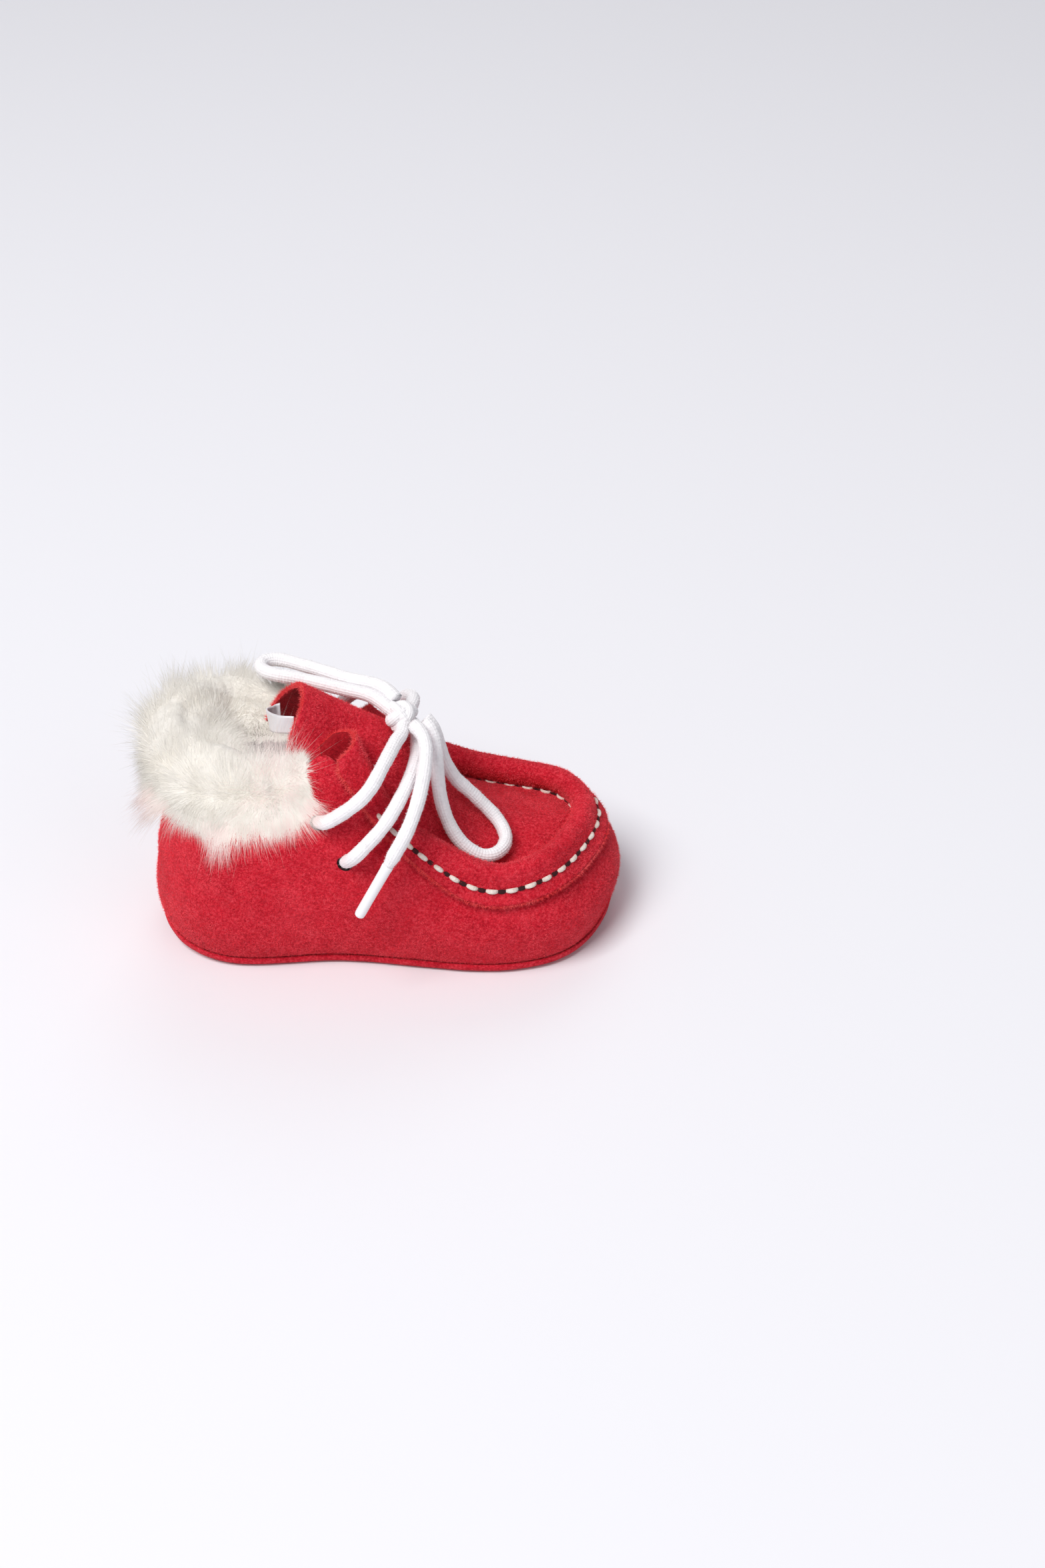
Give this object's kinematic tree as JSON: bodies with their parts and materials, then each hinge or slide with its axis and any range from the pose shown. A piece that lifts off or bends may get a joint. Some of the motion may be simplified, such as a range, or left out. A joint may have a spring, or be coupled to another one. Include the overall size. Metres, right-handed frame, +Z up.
{
  "type": "fur-lined moccasin bootie",
  "caption": "Soft baby moccasin boot: wraparound suede upper, stitched toe apron with a tongue, fur collar cuff and a bow-tied lace.",
  "frame": {"origin": "on the sole's resting face, under the middle of the shoe's length", "axes": "+X towards the toe, +Y towards the inner side of the foot, +Z up"},
  "size_m": [0.1152, 0.0642, 0.0665],
  "materials": {
    "sole": "matte suede",
    "insole": "matte fleece",
    "upper": "matte suede",
    "apron": "matte suede",
    "fur_cuff": "long soft fur",
    "lace": "matte cotton",
    "aglet": "smooth",
    "tag": "satin"
  },
  "bodies": {
    "root": {"sole": "sole", "insole": "insole", "upper": "upper", "apron": "apron", "fur_cuff": "fur_cuff", "lace_bar": "lace", "lace_strand_outer": "lace", "lace_strand_inner": "lace", "lace_end_outer": "lace", "lace_end_inner": "lace", "lace_loop_front": "lace", "lace_loop_back": "lace", "lace_knot": "lace", "aglet_outer": "aglet", "aglet_inner": "aglet", "tongue_tag": "tag"}
  },
  "joints": []
}
